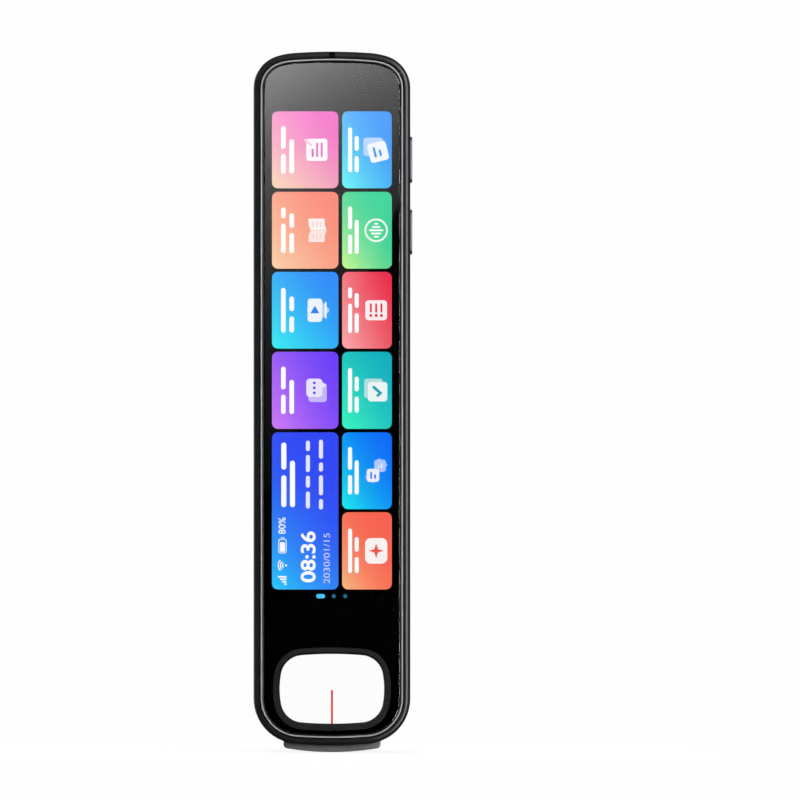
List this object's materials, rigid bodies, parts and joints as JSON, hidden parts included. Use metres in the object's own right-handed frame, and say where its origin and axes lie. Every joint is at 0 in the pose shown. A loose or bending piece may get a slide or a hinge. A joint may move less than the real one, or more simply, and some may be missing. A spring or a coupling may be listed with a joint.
{
  "type": "handheld translator",
  "caption": "Slim handheld scanning translator with a touch display, a see-through scan window, a sprung scanning tip, side keys and a rear camera island.",
  "frame": {"origin": "centre of the casing: half way along its length, width and depth, where a hand holds it", "axes": "+Z along the body from the scanning tip up to the charging port, -Y out of the display, +X towards the two side keys"},
  "size_m": [0.0334, 0.0135, 0.1476],
  "materials": {
    "gunmetal_shell": "satin gunmetal paint with a fine metallic grain",
    "gunmetal_frame": "satin dark gunmetal paint, brighter where the edges catch light",
    "trim_metal": "polished dark chamfer",
    "cover_glass": "glossy black-edged cover glass",
    "clear_adhesive": "clear, soft",
    "black_adhesive": "matt black tape",
    "display": "black panel with a lit picture",
    "flex_circuit": "amber polyimide",
    "chassis": "die-cast, as cast",
    "gunmetal_island": "satin gunmetal paint, as the shell",
    "mesh_steel": "woven dark mesh",
    "foam": "closed-cell foam",
    "speaker_black": "moulded",
    "red_trim": "polished red anodised",
    "camera_glass": "glossy black",
    "silver_ring": "turned silver",
    "lens_glass": "coated lens",
    "camera_body": "black moulded",
    "board_green": "solder mask",
    "tin_steel": "tinned sheet",
    "chip_black": "moulded chip",
    "connector_cream": "moulded",
    "battery_foil": "pouch foil",
    "key_metal": "satin gunmetal",
    "ring_black": "gloss black",
    "clear_pane": "clear",
    "red_mark": "red inlay",
    "tunnel_black": "fine matt black",
    "light_white": "milky",
    "tip_grey": "hard-wearing satin",
    "spring_steel": "drawn wire",
    "screw_black": "blackened steel"
  },
  "bodies": {
    "casing": {"front_bezel": "gunmetal_frame", "display_trim": "trim_metal", "cover_glass": "cover_glass", "frame_adhesive": "black_adhesive", "optical_adhesive": "clear_adhesive", "display_module": "display", "display_flex": "flex_circuit", "inner_chassis": "chassis", "rear_shell": "gunmetal_shell", "island_cover": "gunmetal_island", "speaker_mesh": "mesh_steel", "speaker_gasket": "foam", "speaker": "speaker_black", "camera_window_trim": "red_trim", "camera_window": "camera_glass", "lens_ring": "silver_ring", "lens_cover": "lens_glass", "rear_camera": "camera_body", "camera_lens": "lens_glass", "main_board": "board_green", "shield_can": "tin_steel", "processor": "chip_black", "memory_chip": "chip_black", "usb_receptacle": "tin_steel", "usb_tongue": "chip_black", "board_connectors": "connector_cream", "battery": "battery_foil", "battery_tape": "black_adhesive", "battery_pad": "foam", "battery_lead": "flex_circuit", "wifi_antenna": "flex_circuit", "key_switches": "chip_black", "key_flex": "flex_circuit", "key_bracket": "tin_steel", "side_microphone": "tin_steel", "side_mic_boot": "foam", "top_microphone": "tin_steel", "window_front_ring": "ring_black", "window_pane": "clear_pane", "aiming_mark": "red_mark", "window_tunnel": "tunnel_black", "window_rear_ring": "ring_black", "scan_board": "board_green", "scan_camera": "camera_body", "scan_lens": "lens_glass", "scan_lights": "light_white", "light_windows": "light_white", "scan_flex": "flex_circuit", "tip_switch": "chip_black", "tip_spring": "spring_steel", "case_screws": "screw_black", "board_screws": "screw_black"},
    "tip": {"scan_tip": "tip_grey", "tip_yoke": "tip_grey", "tip_switch_plunger": "connector_cream"},
    "power_key": {"power_button": "key_metal", "power_switch_plunger": "connector_cream"},
    "function_key": {"function_button": "key_metal", "function_switch_plunger": "connector_cream"}
  },
  "joints": [
    {"name": "scan_tip_press", "type": "slide", "parent": "casing", "child": "tip", "axis": [0, 0, 1], "range_m": [0, 0.0008], "stiffness_N_per_m": 300, "springref_m": -0.001, "deforming": ["tip_spring"]},
    {"name": "power_button_press", "type": "slide", "parent": "casing", "child": "power_key", "axis": [-1, 0, 0], "range_m": [0, 0.0003], "stiffness_N_per_m": 3000, "springref_m": -0.0002},
    {"name": "function_button_press", "type": "slide", "parent": "casing", "child": "function_key", "axis": [-1, 0, 0], "range_m": [0, 0.0003], "stiffness_N_per_m": 3000, "springref_m": -0.0002}
  ]
}
